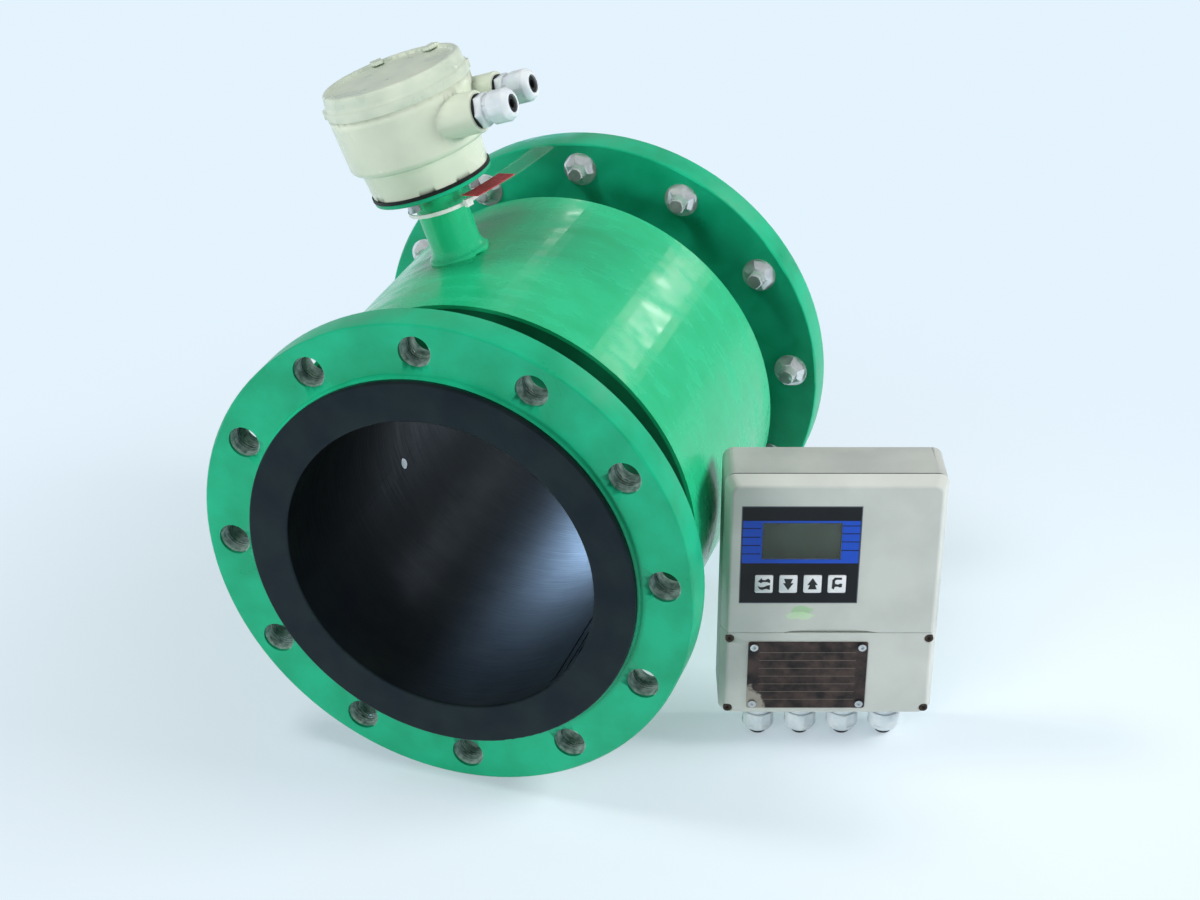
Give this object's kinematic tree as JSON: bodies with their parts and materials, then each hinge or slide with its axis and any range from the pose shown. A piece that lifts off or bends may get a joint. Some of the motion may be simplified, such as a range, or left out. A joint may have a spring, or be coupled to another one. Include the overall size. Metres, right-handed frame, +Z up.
{
  "type": "electromagnetic flow meter",
  "caption": "Split-type electromagnetic flow meter: flanged, rubber-lined pipe sensor with a screw-lid terminal head on a leaning neck, and a separate keypad converter box.",
  "frame": {"origin": "centre of the bore, half way between the two flanges", "axes": "+Y along the flow from inlet to outlet, +Z up, +X to the right seen from the inlet; the converter stands upright on the +X side"},
  "size_m": [0.5531, 0.41, 0.5303],
  "materials": {
    "green_paint": "glossy green enamel over steel",
    "liner_rubber": "black chloroprene, ground smooth",
    "electrode_steel": "turned stainless steel",
    "bush_plastic": "white insulating plastic",
    "coil_copper": "enamelled copper winding",
    "magnet_iron": "plain electrical steel",
    "gasket_rubber": "black rubber",
    "head_enamel": "glossy cream-green enamel over cast aluminium",
    "screw_steel": "bright stainless steel",
    "terminal_plastic": "moulded thermoset",
    "gland_nylon": "moulded white nylon",
    "tie_nylon": "natural nylon",
    "tag_card": "red card",
    "tag_film": "clear film",
    "case_plastic": "light grey moulded plastic",
    "panel_film": "printed polyester film, black with blue bands",
    "window_plastic": "clear acrylic",
    "display": "unlit liquid crystal display",
    "key_plastic": "white key caps",
    "board": "circuit board",
    "plate_metal": "dark anodised plate"
  },
  "bodies": {
    "meter": {"cable_tie": "tie_nylon", "casing_end_inlet": "green_paint", "casing_end_outlet": "green_paint", "casing_shell": "green_paint", "coil_lower": "coil_copper", "coil_upper": "coil_copper", "converter_case": "case_plastic", "converter_gland_1_body": "gland_nylon", "converter_gland_1_nut": "gland_nylon", "converter_gland_2_body": "gland_nylon", "converter_gland_2_nut": "gland_nylon", "converter_gland_3_body": "gland_nylon", "converter_gland_3_nut": "gland_nylon", "converter_gland_4_body": "gland_nylon", "converter_gland_4_nut": "gland_nylon", "converter_gland_seals": "gasket_rubber", "cover_gasket": "gasket_rubber", "cover_screws": "screw_steel", "display_module": "display", "display_window": "window_plastic", "electrode_bushes": "bush_plastic", "electrode_left": "electrode_steel", "electrode_nuts": "electrode_steel", "electrode_right": "electrode_steel", "front_cover": "case_plastic", "head_body": "head_enamel", "head_gasket": "gasket_rubber", "head_gland_1_body": "gland_nylon", "head_gland_1_nut": "gland_nylon", "head_gland_2_body": "gland_nylon", "head_gland_2_nut": "gland_nylon", "head_gland_seals": "gasket_rubber", "head_gland_washers": "gasket_rubber", "head_plate": "green_paint", "head_screws": "screw_steel", "inlet_flange": "green_paint", "keypad_panel": "panel_film", "liner": "liner_rubber", "main_board": "board", "measuring_tube": "green_paint", "name_plate": "plate_metal", "name_plate_screws": "screw_steel", "neck_tube": "green_paint", "outlet_flange": "green_paint", "outlet_studs": "screw_steel", "pole_plate_lower": "magnet_iron", "pole_plate_upper": "magnet_iron", "tag_card": "tag_card", "tag_sleeve": "tag_film", "terminal_block": "terminal_plastic", "terminal_cover": "case_plastic", "terminal_strip": "terminal_plastic", "yoke_band": "magnet_iron"},
    "lid_seal": {"lid_ring": "gasket_rubber"},
    "lid": {"head_lid": "head_enamel"},
    "key_cap_1": {"key_1": "key_plastic"},
    "key_cap_2": {"key_2": "key_plastic"},
    "key_cap_3": {"key_3": "key_plastic"},
    "key_cap_4": {"key_4": "key_plastic"}
  },
  "joints": [
    {"name": "lid_lift", "type": "slide", "parent": "meter", "child": "lid_seal", "axis": [-0.342, 0, 0.9397], "range_m": [0, 0.006]},
    {"name": "lid_turn", "type": "hinge", "parent": "lid_seal", "child": "lid", "pos_m": [-0.10945, 0, 0.3007], "axis": [-0.342, 0, 0.9397], "range_deg": [0, 1080]},
    {"name": "key_1_press", "type": "slide", "parent": "meter", "child": "key_cap_1", "axis": [-0.3256, 0.9455, 0], "range_m": [0, 0.0004], "stiffness_N_per_m": 800, "springref_m": -0.0004},
    {"name": "key_2_press", "type": "slide", "parent": "meter", "child": "key_cap_2", "axis": [-0.3256, 0.9455, 0], "range_m": [0, 0.0004], "stiffness_N_per_m": 800, "springref_m": -0.0004},
    {"name": "key_3_press", "type": "slide", "parent": "meter", "child": "key_cap_3", "axis": [-0.3256, 0.9455, 0], "range_m": [0, 0.0004], "stiffness_N_per_m": 800, "springref_m": -0.0004},
    {"name": "key_4_press", "type": "slide", "parent": "meter", "child": "key_cap_4", "axis": [-0.3256, 0.9455, 0], "range_m": [0, 0.0004], "stiffness_N_per_m": 800, "springref_m": -0.0004}
  ],
  "couplings": [
    {"joint": "lid_lift", "follows": "lid_turn", "m_per_rad": 0.00031831}
  ]
}
